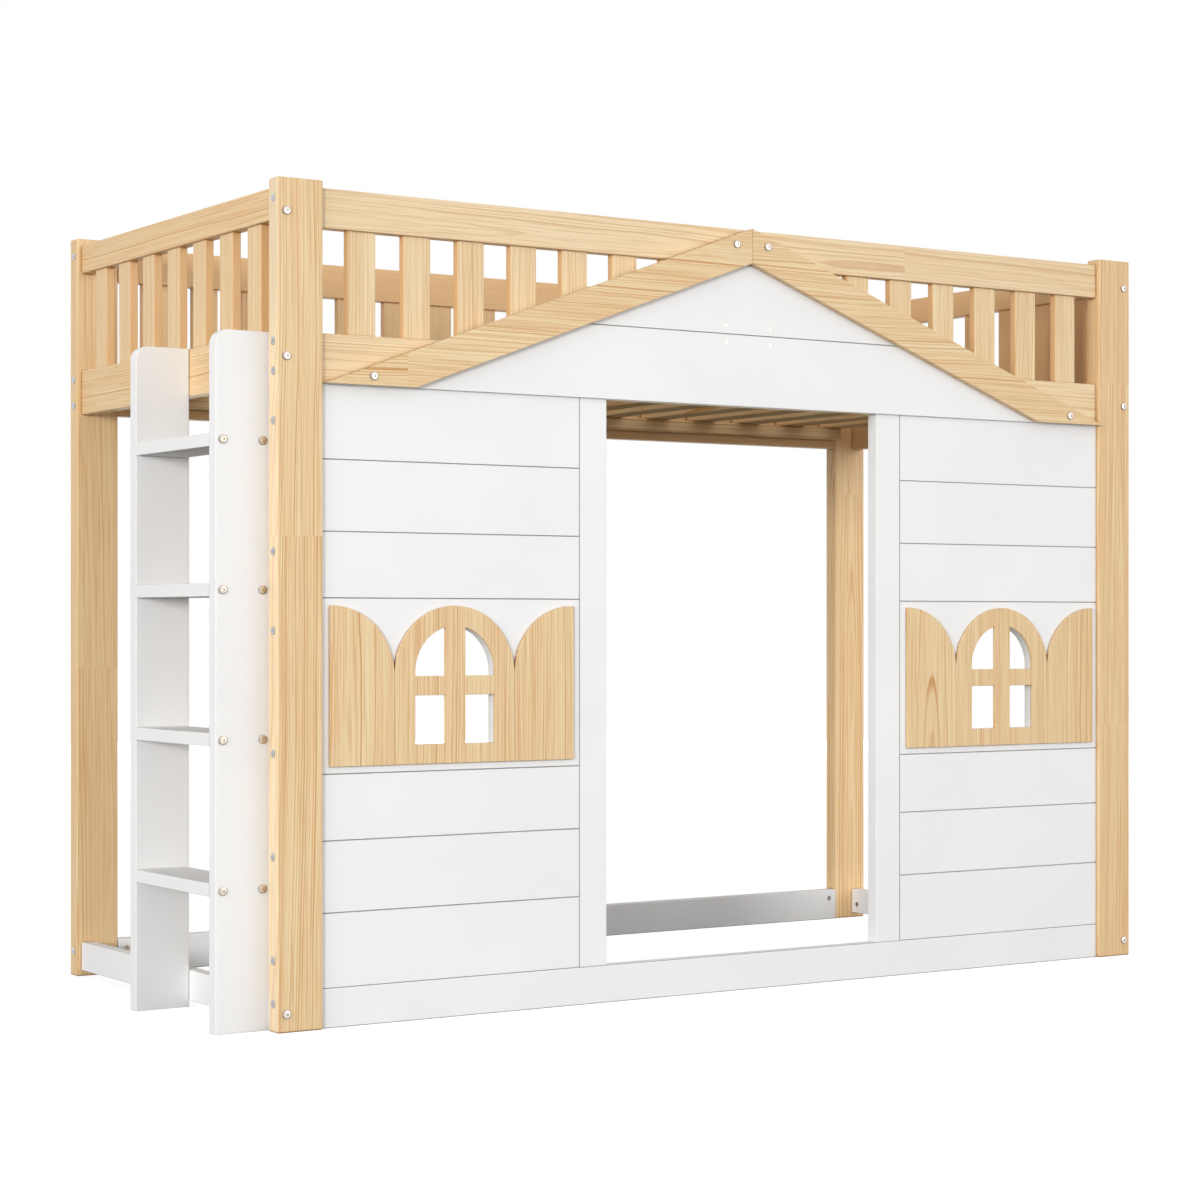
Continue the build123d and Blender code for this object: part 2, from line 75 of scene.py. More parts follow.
class Sheen(Enum):
    """How a painted face shines: its roughness, and how strongly it mirrors."""

    SATIN = (0.44, 0.32)
    MATT = (0.60, 0.0)


class Plating(Enum):
    """The platings of the bolts, as the colour of the metal."""

    PEARL = (0.81, 0.74, 0.68, 1.0)
    CHAMPAGNE = (0.78, 0.69, 0.58, 1.0)
    BRONZE = (0.50, 0.40, 0.31, 1.0)
    ZINC = (0.73, 0.77, 0.83, 1.0)


class Bench:
    """The node tree of a material or of the sky, with short calls that add nodes and join them."""

    openness_rays = 6
    edge_rays = 4

    def __init__(self, owner: bpy.types.Material | bpy.types.World) -> None:
        """Start an empty node tree.

        Args:
            owner: The material or world that the nodes belong to.
        """
        self.owner = owner
        owner.use_nodes = True
        self.tree = owner.node_tree
        self.tree.nodes.clear()

    @classmethod
    def for_material(cls, name: str) -> "Bench":
        """Start a new material of that name."""
        return cls(bpy.data.materials.new(name))

    def add(self, kind: str, inputs: object = (), **settings: object) -> bpy.types.Node:
        """Add a node, set its properties and join or set its inputs.

        Args:
            kind: Blender's name for the node type.
            inputs: Sockets, numbers or colours for its inputs, in order or by name or number.
            settings: Properties of the node.

        Returns:
            The new node.
        """
        node = self.tree.nodes.new(kind)
        for name, value in settings.items():
            setattr(node, name, value)
        for key, value in inputs.items() if isinstance(inputs, dict) else enumerate(inputs):
            if isinstance(value, Socket):
                self.tree.links.new(value, node.inputs[key])
            else:
                node.inputs[key].default_value = value
        return node

    def calc(self, operation: str, *values: object) -> Socket:
        """Add a maths node and give its result."""
        return self.add("ShaderNodeMath", values, operation=operation).outputs[0]

    def smooth(
        self, value: object, low: float, high: float, start: float = 0.0, end: float = 1.0,
    ) -> Socket:
        """Map a value smoothly from the range low to high to the range start to end."""
        inputs = (value, low, high, start, end)
        return self.add("ShaderNodeMapRange", inputs, interpolation_type="SMOOTHSTEP").outputs[0]

    def vector(self, *parts: object) -> Socket:
        """Combine three numbers into a vector."""
        return self.add("ShaderNodeCombineXYZ", parts).outputs[0]

    def noise(self, place: Socket, scale: float, detail: float) -> Socket:
        """Read a noise at a place, by its frequency and its number of finer octaves."""
        inputs = {"Vector": place, "Scale": scale, "Detail": detail}
        return self.add("ShaderNodeTexNoise", inputs, noise_dimensions="3D").outputs["Fac"]

    def dice(self, value: object) -> list[Socket]:
        """Three fixed random numbers from 0 to 1 for each value of a number."""
        node = self.add("ShaderNodeTexWhiteNoise", {"W": value}, noise_dimensions="1D")
        return list(self.add("ShaderNodeSeparateColor", [node.outputs["Color"]]).outputs[:3])

    def mix(self, share: object, first: object, second: object, mode: str = "MIX") -> Socket:
        """Mix a share of the second colour into the first, or combine them by another mode."""
        inputs = {0: share, 6: first, 7: second}
        return self.add("ShaderNodeMix", inputs, data_type="RGBA", blend_type=mode).outputs[2]

    def open_share(self, reach: float) -> Socket:
        """How open a place is: 1 where no other face is within reach, and less in a groove."""
        inputs = {"Distance": reach}
        return self.add("ShaderNodeAmbientOcclusion", inputs, samples=self.openness_rays).outputs["AO"]

    def bump(self, height: object, depth: float, strength: float, edge: float = 0.0) -> Socket:
        """Turn a height into a surface normal that is eased over the edges.

        Args:
            height: The height, from 0 to 1.
            depth: How deep 1 is.
            strength: How much of it shows.
            edge: Radius of the eased edges, or none.

        Returns:
            The normal.
        """
        inputs = {"Height": height, "Distance": depth, "Strength": strength}
        if edge:
            ease = self.add("ShaderNodeBevel", {"Radius": edge}, samples=self.edge_rays)
            inputs["Normal"] = ease.outputs[0]
        return self.add("ShaderNodeBump", inputs).outputs["Normal"]

    def place(self) -> list[Socket]:
        """The three Object coordinates of the point."""
        node = self.add("ShaderNodeTexCoord")
        return list(self.add("ShaderNodeSeparateXYZ", [node.outputs["Object"]]).outputs)

    def surface(self, **inputs: object) -> bpy.types.Material:
        """Finish the material with a surface shader.

        Args:
            inputs: The shader's inputs, with underscores for the spaces in their names.

        Returns:
            The finished material.
        """
        named = {name.replace("_", " "): value for name, value in inputs.items()}
        shader = self.add("ShaderNodeBsdfPrincipled", named)
        self.add("ShaderNodeOutputMaterial", [shader.outputs[0]])
        return self.owner


def add_object(name: str, data: bpy.types.ID) -> bpy.types.Object:
    """Add an object to the scene.

    Args:
        name: Its name.
        data: Its mesh, light or camera.

    Returns:
        The object.
    """
    made = bpy.data.objects.new(name, data)
    bpy.context.scene.collection.objects.link(made)
    return made


@dataclass(frozen=True)
class Repeat:
    """Like pieces in one node, evenly spaced along an axis."""

    axis: Axis
    width: float
    count: int


@dataclass(frozen=True)
class Lumber:
    """How one piece of pine was cut from the tree.

    Attributes:
        grain: The axis that the grain runs along.
        face: The axis across the widest face.
        seams: Places along the grain where two lengths are glued end to end.
        repeat: How the pieces in the node repeat, if it holds several.
        heart_spread: How far to either side the heart of the tree may lie.
        heart_near: The least depth of the heart behind the face.
        tone: How light this piece is drawn beside the others; above 1 it is painted light.
        bleach: Share of a paler wood in it.
        side_bleach: The same on its narrow sides.
        warm_tone_and_shade: Share of the warmer tone in it; on pieces inside the bed a large share is
            painted warm shade.
        side_warm_tone_and_shade: The same on its narrow sides, where it is painted warm shade.
        end_joint: Place along the grain where it meets the next piece in a fine dark line.
    """

    grain: Axis
    face: Axis
    seams: tuple[float, ...] = ()
    repeat: Repeat | None = None
    heart_spread: float = 0.15
    heart_near: float = 0.010
    tone: float = 1.0
    bleach: float = 0.0
    side_bleach: float = 0.0
    warm_tone_and_shade: float = 0.0
    side_warm_tone_and_shade: float = 0.0
    end_joint: float | None = None


@dataclass(frozen=True)
class Figure:
    """A noise in the wood that is drawn out along the grain.

    Attributes:
        draw: Share of the distance along the grain that counts.
        scale: Its frequency across the grain.
        detail: Its number of finer octaves.
        ramp: What it becomes as a share.
    """

    draw: float
    scale: float
    detail: float
    ramp: Ramp = ()

    def read(self, bench: Bench, spot: tuple) -> Socket:
        """Read the noise.

        Args:
            bench: The material's bench.
            spot: Places along, across and through the tree.

        Returns:
            The noise, about 0.5 on average.
        """
        along, across, depth = spot
        place = bench.vector(bench.calc("MULTIPLY", along, self.draw), across, depth)
        return bench.noise(place, self.scale, self.detail)

    def share(self, bench: Bench, spot: tuple) -> Socket:
        """Read the noise, put through its ramp."""
        return bench.smooth(self.read(bench, spot), *self.ramp)


@dataclass(frozen=True)
class PineFinish:
    """Knot-free pine under clear satin lacquer, with its growth rings and fibres.

    Attributes:
        cream: Colour of the pale early wood.
        honey: Colour of the dark late wood.
        warm_tone_and_shade: Warmer tone that drifts through the pale wood, and the colour of the painted
            warm shade inside the bed.
        ivory: Palest wood, of which some pieces have a share.
        shade_and_joint_brown: Painted shade on the wood near another piece, and the colour of the fine
            line at an end joint.
        ring: Usual width of a growth ring.
        taper: How much the tree narrows, as a share of its length.
        trunk: Length of the trunk.
        heart_range: Range of depth of the heart behind the face.
        bends: Slow and quick bends of the rings, and how far each reaches.
        season: Change in ring width, of which season_swing is the most rings that it adds.
        rise: The late wood's onset within a ring.
        fall: Its sharp end.
        strength: Its strength from ring to ring.
        calm: Zones in which it is fainter.
        fine: Thin lines beside the rings.
        streak: Streaks of the warmer tone.
        ring_blush: Largest share of it that a ring takes.
        end_line: Line at an end joint, by the distance from it.
        gloss_swing: How much the fibres change the roughness.
        ring_relief: Share of the relief that the rings have, beside the fibres.
        joint_shade_reach: How near another piece puts painted shade on the wood.
        length_step: What a glued length adds to the piece's number.
        piece_step: What a repeated piece adds to it.
    """

    cream: Colour = (0.800, 0.634, 0.378, 1.0)
    honey: Colour = (0.575, 0.290, 0.095, 1.0)
    warm_tone_and_shade: Colour = (0.730, 0.460, 0.225, 1.0)
    ivory: Colour = (0.870, 0.765, 0.560, 1.0)
    shade_and_joint_brown: Colour = (0.340, 0.145, 0.050, 1.0)
    ring: float = 0.0056
    taper: float = 0.012
    trunk: float = 20.0
    heart_range: float = 0.060
    bends: tuple[tuple[Figure, float], ...] = (
        (Figure(0.22, 5.5, 1.5), 0.034),
        (Figure(0.16, 34.0, 2.0), 0.0032),
    )
    season: Noise = (0.45, 1.0)
    season_swing: float = 3.2
    rise: Ramp = (0.42, 0.88)
    fall: Ramp = (0.90, 1.0, 1.0, 0.0)
    strength: Ramp = (0.0, 1.0, 0.22, 1.12)
    calm: Figure = Figure(0.10, 16.0, 1.0, (0.36, 0.54, 0.60, 1.0))
    fine: Figure = Figure(0.012, 360.0, 2.0, (0.52, 0.66, 0.0, 0.56))
    streak: Figure = Figure(0.05, 48.0, 3.0, (0.3, 0.75, 0.0, 0.50))
    ring_blush: float = 0.22
    fibre: Figure = Figure(0.02, 1300.0, 3.0, (0.25, 0.75, 0.955, 1.03))
    joint_shade_ramp: Ramp = (0.46, 0.74)
    end_line: Ramp = (0.0004, 0.0018, 0.42, 0.0)
    side_ramp: Ramp = (0.4, 0.7)
    roughness: float = 0.42
    gloss_swing: float = 0.14
    mirror: float = 0.42
    relief: Relief = (0.00025, 0.35)
    ring_relief: float = 0.6
    edge_round: float = 0.0012
    joint_shade_reach: float = 0.008
    length_step: float = 0.37
    piece_step: float = 1.713

    def material(self, node: str, lumber: Lumber, seed: int) -> bpy.types.Material:
        """Make the wood of one node.

        Args:
            node: The node's name.
            lumber: How its pieces are cut.
            seed: Number that sets this node's grain apart from the others.

        Returns:
            The material.
        """
        bench = Bench.for_material(f"pine_{node}")
        place = bench.place()
        low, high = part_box(node)
        centre = (low + high) / 2
        grain, face = lumber.grain.value, lumber.face.value
        through = next(axis for axis in Axis if axis not in (lumber.grain, lumber.face)).value
        index = self.length_index(bench, place[grain], lumber, seed)
        local = [bench.calc("SUBTRACT", place[axis.value], centre[axis.value]) for axis in Axis]
        if lumber.repeat:
            step, piece = self.piece_index(bench, place, node, lumber.repeat)
            index = bench.calc("ADD", index, step)
            local[lumber.repeat.axis.value] = piece
        sides, depths, shifts = bench.dice(index)
        spread, near = lumber.heart_spread, lumber.heart_near
        spot = (
            bench.calc("ADD", local[grain], bench.calc("MULTIPLY", shifts, self.trunk)),
            bench.calc("ADD", local[face], bench.smooth(sides, 0, 1, -spread, spread)),
            bench.calc("ADD", local[through], bench.smooth(depths, 0, 1, near, near + self.heart_range)),
        )
        late, pales = self.late_wood(bench, spot, index)
        fibre = self.fibre.read(bench, spot)
        colour = bench.mix(self.streak.share(bench, spot), self.cream, self.warm_tone_and_shade)
        colour = bench.mix(bench.calc("MULTIPLY", pales, self.ring_blush), colour, self.warm_tone_and_shade)
        colour = bench.mix(late, colour, self.honey)
        bleach = self.by_side(bench, face, lumber.bleach, lumber.side_bleach)
        colour = bench.mix(bleach, colour, self.ivory)
        # Painted warm shade on pieces and narrow sides that face into the bed.
        warm_tone_and_shade = self.by_side(bench, face, lumber.warm_tone_and_shade, lumber.side_warm_tone_and_shade)
        colour = bench.mix(warm_tone_and_shade, colour, self.warm_tone_and_shade)
        if lumber.end_joint is not None:
            off = bench.calc("ABSOLUTE", bench.calc("SUBTRACT", place[grain], lumber.end_joint))
            colour = bench.mix(bench.smooth(off, *self.end_line), colour, self.shade_and_joint_brown)
        # A tone above 1 lightens the whole piece: painted light.
        low, high, dark, light = self.fibre.ramp
        shade = bench.smooth(fibre, low, high, dark * lumber.tone, light * lumber.tone)
        grey = bench.add("ShaderNodeCombineColor", [shade] * 3).outputs[0]
        colour = bench.mix(1.0, colour, grey, "MULTIPLY")
        # Painted shade: the wood turns brown where another piece is near.
        joint = bench.smooth(bench.open_share(self.joint_shade_reach), *self.joint_shade_ramp)
        colour = bench.mix(joint, self.shade_and_joint_brown, colour)
        height = bench.calc(
            "ADD",
            bench.calc("MULTIPLY", late, self.ring_relief),
            bench.calc("MULTIPLY", fibre, 1.0 - self.ring_relief),
        )
        swing = self.gloss_swing
        gloss = bench.calc("ADD", bench.calc("MULTIPLY", fibre, swing), self.roughness - swing / 2)
        return bench.surface(
            Base_Color=colour,
            Roughness=gloss,
            Specular_IOR_Level=self.mirror,
            Normal=bench.bump(height, *self.relief, self.edge_round),
        )

    def late_wood(self, bench: Bench, spot: tuple, index: object) -> tuple[Socket, Socket]:
        """Draw the late wood of the rings, and the thin lines beside them.

        Args:
            bench: The material's bench.
            spot: Places along, across and through the tree.
            index: The number of the piece.

        Returns:
            The share of late wood, and a random number of each ring.
        """
        along, across, depth = spot
        square = bench.calc("ADD", bench.calc("POWER", across, 2.0), bench.calc("POWER", depth, 2.0))
        radius = bench.calc("POWER", square, 0.5)
        radius = bench.calc("ADD", radius, bench.calc("MULTIPLY", along, self.taper))
        for figure, reach in self.bends:
            bend = bench.calc("SUBTRACT", figure.read(bench, spot), 0.5)
            radius = bench.calc("ADD", radius, bench.calc("MULTIPLY", bend, reach))
        rings = bench.calc("DIVIDE", radius, self.ring)
        season = bench.noise(bench.vector(rings, index, 0.0), *self.season)
        rings = bench.calc("ADD", rings, bench.calc("MULTIPLY", season, self.season_swing))
        ring = bench.calc("FRACT", rings)
        strengths, _, pales = bench.dice(bench.calc("FLOOR", rings))
        late = bench.calc("MULTIPLY", bench.smooth(ring, *self.rise), bench.smooth(ring, *self.fall))
        late = bench.calc("MULTIPLY", late, bench.smooth(strengths, *self.strength))
        late = bench.calc("MULTIPLY", late, self.calm.share(bench, spot))
        late = bench.calc("MAXIMUM", late, self.fine.share(bench, spot))
        return bench.calc("MINIMUM", late, 1.0), pales

    def by_side(self, bench: Bench, face: int, on_face: float, on_side: float) -> object:
        """A share that differs between the wide faces and the narrow sides.

        Args:
            bench: The material's bench.
            face: The axis across the widest face.
            on_face: The share on the wide faces.
            on_side: The share on the narrow sides, or 0 for the same all round.

        Returns:
            The share, a number or a socket.
        """
        if not on_side:
            return on_face
        normal = bench.add("ShaderNodeNewGeometry").outputs["True Normal"]
        split = bench.add("ShaderNodeSeparateXYZ", [normal])
        facing = bench.calc("ABSOLUTE", split.outputs[face])
        return bench.smooth(facing, *self.side_ramp, on_face, on_side)

    def length_index(self, bench: Bench, along: object, lumber: Lumber, seed: int) -> object:
        """Number the glued lengths of a piece.

        Args:
            bench: The material's bench.
            along: The place along the grain.
            lumber: How the piece is cut.
            seed: The number of the first length.

        Returns:
            The number of the length that the point is in.
        """
        index = float(seed)
        for seam in lumber.seams:
            beyond = bench.calc("GREATER_THAN", along, seam)
            index = bench.calc("ADD", index, bench.calc("MULTIPLY", beyond, self.length_step))
        return index

    def piece_index(self, bench: Bench, place: list, node: str, repeat: Repeat) -> tuple[Socket, Socket]:
        """Number the repeated pieces of a node.

        Args:
            bench: The material's bench.
            place: The point's coordinates.
            node: The node's name.
            repeat: How the pieces repeat.

        Returns:
            A number for the piece, and the place across it from its middle.
        """
        axis = repeat.axis.value
        low, high = (corner[axis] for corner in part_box(node))
        first = low + repeat.width / 2
        pitch = (high - low - repeat.width) / (repeat.count - 1)
        from_first = bench.calc("SUBTRACT", place[axis], first)
        number = bench.calc("ROUND", bench.calc("DIVIDE", from_first, pitch))
        piece = bench.calc("SUBTRACT", from_first, bench.calc("MULTIPLY", number, pitch))
        return bench.calc("MULTIPLY", number, self.piece_step), piece


@dataclass(frozen=True)
class JointLine:
    """A fine dark line on a piece's front face, at a joint or along a sharp edge: partly a dark joint
    and partly painted shade.

    Attributes:
        across: The axis that the line lies across.
        where: Its place on that axis.
        front: The front face's place from front to back.
        span: Where it starts and ends along the bed, or none to run on.
        core: How far from its middle it starts to fade.
        reach: How far from its middle it is gone.
        depth: How far behind the face it still shows.
        share: How much of the shade_and_joint_grey it takes.
    """

    across: Axis
    where: float
    front: float
    span: tuple[float, float] | None = None
    core: float = 0.0003
    reach: float = 0.0015
    depth: float = 0.003
    share: float = 0.80

    def strength(self, bench: Bench, place: list) -> Socket:
        """Measure how much of the line falls on a point.

        Args:
            bench: The material's bench.
            place: The point's coordinates.

        Returns:
            The share.
        """
        off = bench.calc("ABSOLUTE", bench.calc("SUBTRACT", place[self.across.value], self.where))
        behind = bench.calc("SUBTRACT", place[Axis.BACK.value], self.front)
        near = bench.smooth(off, self.core, self.reach, self.share, 0.0)
        limits = [bench.smooth(behind, self.depth / 2, self.depth, 1.0, 0.0)]
        if self.span:
            along = place[Axis.ALONG.value]
            for test, end in zip(("GREATER_THAN", "LESS_THAN"), self.span):
                limits.append(bench.calc(test, along, end))
        for limit in limits:
            near = bench.calc("MULTIPLY", near, limit)
        return near


@dataclass(frozen=True)
class PaintFinish:
    """Smooth white paint over board, with faint roller texture.

    Attributes:
        shade: Slightly greyer tone that drifts through the white.
        shade_and_joint_grey: Painted shade deep in the grooves and by other faces, and the colour of the
            joint lines.
        peel: Noise of the roller's texture.
        fleck: Noise of the flecks in the shine.
        gloss_ends: What these add to the roughness at the least and the most.
        groove_shade_reach: How near another face puts painted shade on the paint.
    """

    white: Colour = (0.865, 0.866, 0.868, 1.0)
    shade: Colour = (0.835, 0.836, 0.840, 1.0)
    shade_and_joint_grey: Colour = (0.190, 0.190, 0.200, 1.0)
    sheen: Sheen = Sheen.SATIN
    drift: Noise = (3.0, 3.0)
    peel: Noise = (420.0, 2.0)
    fleck: Noise = (60.0, 4.0)
    noise_ramp: Ramp = (0.3, 0.7)
    gloss_ends: tuple[float, float] = (-0.04, 0.05)
    groove_shade_reach: float = 0.005
    groove_shade_ramp: Ramp = (0.30, 0.62)
    relief: Relief = (0.00012, 0.22)
    edge_round: float = 0.0010

    def material(self, name: str, joints: tuple[JointLine, ...] = ()) -> bpy.types.Material:
        """Make the paint.

        Args:
            name: The material's name.
            joints: Joint lines to draw on it.

        Returns:
            The material.
        """
        bench = Bench.for_material(name)
        point = bench.place()
        place = bench.vector(*point)
        tone = bench.smooth(bench.noise(place, *self.drift), *self.noise_ramp)
        colour = bench.mix(tone, self.white, self.shade)
        # Painted shade: the paint turns grey where another face is near, as in the grooves.
        unshaded = bench.smooth(bench.open_share(self.groove_shade_reach), *self.groove_shade_ramp)
        colour = bench.mix(unshaded, self.shade_and_joint_grey, colour)
        for joint in joints:
            colour = bench.mix(joint.strength(bench, point), colour, self.shade_and_joint_grey)
        roughness, mirror = self.sheen.value
        ends = (roughness + change for change in self.gloss_ends)
        return bench.surface(
            Base_Color=colour,
            Roughness=bench.smooth(bench.noise(place, *self.fleck), *self.noise_ramp, *ends),
            Specular_IOR_Level=mirror,
            Normal=bench.bump(bench.noise(place, *self.peel), *self.relief, self.edge_round),
        )


@dataclass(frozen=True)
class PlateFinish:
    """Plated steel with fine turning marks, a little dulling, and painted shade round the rim of a head
    and in its socket.

    Attributes:
        rim_shade_share: How much painted shade the rim takes.
        dull_light: Share of the metal's light that is left where it is dull.
        gloss_ends: What dulling adds to the roughness at the least and the most.
        shade_light: Share of the metal's light that is left in the painted shade.
        groove_shade_reach: How near another face puts painted shade on the metal.
    """

    plating: Plating
    roughness: float = 0.27
    rim_shade_share: float = 0.85
    marks: Noise = (900.0, 3.0)
    dulling: Noise = (140.0, 2.0)
    dull_ramp: Ramp = (0.3, 0.7)
    dull_light: float = 0.86
    gloss_ramp: Ramp = (0.25, 0.75)
    gloss_ends: tuple[float, float] = (-0.06, 0.10)
    shade_light: float = 0.22
    groove_shade_reach: float = 0.003
    groove_shade_ramp: Ramp = (0.20, 0.60)
    relief: Relief = (0.00004, 0.25)

    def darker(self, light: float) -> Colour:
        """The plating's colour with a share of its light."""
        return tuple(light * part for part in self.plating.value[:3]) + (1.0,)

    def material(self, name: str) -> bpy.types.Material:
        """Make the metal.

        Args:
            name: The material's name.

        Returns:
            The material.
        """
        bench = Bench.for_material(name)
        place = bench.vector(*bench.place())
        marks = bench.noise(place, *self.marks)
        dull = bench.noise(place, *self.dulling)
        patches = bench.smooth(dull, *self.dull_ramp)
        colour = bench.mix(patches, self.plating.value, self.darker(self.dull_light))
        # Painted shade: a darker metal near other faces, and round the head's side, lower edge and
        # socket by the rim attribute.
        painted_shade = self.darker(self.shade_light)
        unshaded = bench.smooth(bench.open_share(self.groove_shade_reach), *self.groove_shade_ramp)
        colour = bench.mix(unshaded, painted_shade, colour)
        rim = bench.add("ShaderNodeAttribute", attribute_name="rim").outputs["Fac"]
        colour = bench.mix(bench.calc("MULTIPLY", rim, self.rim_shade_share), colour, painted_shade)
        ends = (self.roughness + change for change in self.gloss_ends)
        return bench.surface(
            Base_Color=colour,
            Metallic=1.0,
            Roughness=bench.smooth(dull, *self.gloss_ramp, *ends),
            Normal=bench.bump(marks, *self.relief),
        )


@dataclass(frozen=True)
class EasedEdges:
    """A small rounding of a CAD piece's sharp edges, put on by modifiers."""

    width: float = 0.0009
    segments: int = 2
    sharp_angle: float = math.radians(35)
    weld: float = 0.00001

    def apply(self, node: str) -> None:
        """Add the rounding to a node's object.

        Args:
            node: The node's name.
        """
        piece = NODES[node]
        weld = piece.modifiers.new("weld", "WELD")
        weld.merge_threshold = self.weld
        bevel = piece.modifiers.new("ease", "BEVEL")
        bevel.width = self.width
        bevel.segments = self.segments
        bevel.limit_method = "ANGLE"
        bevel.angle_limit = self.sharp_angle


@dataclass
class Assembly:
    """A part of the scene that is built together, with the names of its pieces that are done."""

    done: list[str] = field(default_factory=list, init=False)

    def build(self) -> None:
        """Make or dress the pieces."""
        raise NotImplementedError

    def dress(self, node: str, material: bpy.types.Material) -> None:
        """Give a node's object its finish.

        Args:
            node: The node's name.
            material: Its finish.
        """
        data = NODES[node].data
        if not data.materials:
            data.materials.append(material)
        for index in range(len(data.materials)):
            data.materials[index] = material
        self.done.append(node)


@dataclass
class Woodwork(Assembly):
    """An assembly with pine in it, of which each node has a grain of its own."""

    pine: PineFinish
    seed: int

    def wood(self, node: str, lumber: Lumber) -> None:
        """Dress a node in pine that is cut in the given way."""
        self.seed += 1
        self.dress(node, self.pine.material(node, lumber, self.seed))


@dataclass
class Posts(Woodwork):
    """The four corner posts, glued up from shorter lengths."""

    cut: Lumber = Lumber(Axis.UP, Axis.ALONG, heart_spread=0.10, warm_tone_and_shade=0.20)
    changes: dict[str, dict[str, object]] = field(default_factory=lambda: {
        "front_left_post": {"seams": (0.889,), "side_bleach": 0.40, "warm_tone_and_shade": 0.0},
        "front_right_post": {"seams": (1.258, 0.512)},
        "rear_left_post": {"seams": (0.640,)},
        # Painted light: the rear right post is drawn lighter, for the light that reaches it through the
        # doorway.
        "rear_right_post": {"seams": (1.052,), "tone": 1.22},
    })

    def build(self) -> None:
        """Dress the posts."""
        for node, change in self.changes.items():
            self.wood(node, replace(self.cut, **change))


@dataclass
class Rails(Woodwork):
    """The rails round the bed: pine at the deck and the top, white at the bottom."""

    paint: PaintFinish = PaintFinish(sheen=Sheen.MATT)
    # The rear and right rails face into the bed: their large warm share is painted warm shade, for the
    # bounce light between the wooden parts.
    cuts: dict[str, Lumber] = field(default_factory=lambda: {
        "front": Lumber(Axis.ALONG, Axis.UP, heart_spread=0.10, bleach=0.22),
        "rear": Lumber(Axis.ALONG, Axis.UP, heart_spread=0.10, warm_tone_and_shade=0.80),
        "left": Lumber(Axis.BACK, Axis.UP, heart_spread=0.10, warm_tone_and_shade=0.18),
        "right": Lumber(Axis.BACK, Axis.UP, heart_spread=0.10, warm_tone_and_shade=0.80),
    })
    changes: dict[str, dict[str, object]] = field(default_factory=lambda: {
        "front_top_rail": {"seams": (0.456,)},
        "front_deck_rail": {"seams": (0.212,)},
        "rear_top_rail": {"seams": (-0.260, 0.530)},
        # Painted light: the rear deck rail is drawn lighter inside the bed.
        "rear_deck_rail": {"seams": (-0.455, 0.350), "tone": 1.12},
    })

    def build(self) -> None:
        """Dress the rails, and paint the shade of the doorway sill's top face as a dark line on its
        front edge.
        """
        for level in ("top", "deck"):
            for side, cut in self.cuts.items():
                node = f"{side}_{level}_rail"
                self.wood(node, replace(cut, **self.changes.get(node, {})))
        white = self.paint.material("bottom_rail_paint")
        for side in ("rear", "left", "right"):
            self.dress(f"{side}_bottom_rail", white)
        low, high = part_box("front_bottom_rail")
        doorway = (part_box("left_door_jamb")[1].x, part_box("right_door_jamb")[0].x)
        # Painted shade: a dark line along the sill's front edge, in the doorway only.
        sill = JointLine(Axis.UP, high.z, low.y, doorway)
        self.dress("front_bottom_rail", self.paint.material("front_bottom_rail_paint", (sill,)))


@dataclass
class GuardRail(Woodwork):
    """The upright balusters of the guard rail."""

    baluster_width: float = 0.057
    long_side_count: int = 16
    end_count: int = 7
    bleach: float = 0.12
    # The larger warm shares inside the bed, and every baluster's narrow sides, are painted warm shade.
    side_warm_tone_and_shade: float = 1.0
    warm_tone_and_shade: dict[str, float] = field(default_factory=lambda: {
        "front": 0.0, "rear": 0.35, "left": 0.22, "right": 0.90,
    })

    def build(self) -> None:
        """Dress the balusters."""
        for side, warm_tone_and_shade in self.warm_tone_and_shade.items():
            face, count = Axis.BACK, self.end_count
            if side in ("front", "rear"):
                face, count = Axis.ALONG, self.long_side_count
            lumber = Lumber(
                Axis.UP, face, repeat=Repeat(face, self.baluster_width, count),
                bleach=self.bleach, warm_tone_and_shade=warm_tone_and_shade, side_warm_tone_and_shade=self.side_warm_tone_and_shade,
            )
            self.wood(f"{side}_balusters", lumber)


@dataclass
class HouseFront(Woodwork):
    """The white boarded walls and door jambs."""

    # The right side takes a lighter grey of painted shade, as if lit from the left.
    paints: dict[str, PaintFinish] = field(default_factory=lambda: {
        "left": PaintFinish(shade_and_joint_grey=(0.26, 0.26, 0.27, 1.0)),
        "right": PaintFinish(shade_and_joint_grey=(0.36, 0.36, 0.37, 1.0)),
    })

    def build(self) -> None:
        """Dress the walls and jambs, and draw the joint lines round the jambs, with a painted shadow
        line up the left jamb's outer edge.
        """
        for side, paint in self.paints.items():
            white = paint.material(f"{side}_wall_paint")
            for level in ("lower", "window", "upper"):
                self.dress(f"{side}_{level}_panel", white)
            node = f"{side}_door_jamb"
            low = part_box(node)[0]
            joints = [JointLine(Axis.UP, low.z, low.y)]
            if side == "left":
                # Painted shadow of the wall's edge, up the left jamb's outer side.
                joints.append(JointLine(Axis.ALONG, low.x, low.y))
            self.dress(node, paint.material(f"{side}_jamb_paint", tuple(joints)))
        self.wood("jamb_dowels", Lumber(Axis.UP, Axis.ALONG))


@dataclass
class Windows(Woodwork):
    """The pine window frames and the shutters fixed beside them, all with upright grain."""

    edges: EasedEdges = EasedEdges()
    ring: float = 0.0042
    cut: Lumber = Lumber(Axis.UP, Axis.ALONG, heart_spread=0.30)

    def build(self) -> None:
        """Dress the window trim."""
        self.pine = replace(self.pine, ring=self.ring)
        for side in ("left", "right"):
            for part in ("window_frame", "window_left_shutter", "window_right_shutter"):
                node = f"{side}_{part}"
                self.edges.apply(node)
                self.wood(node, self.cut)


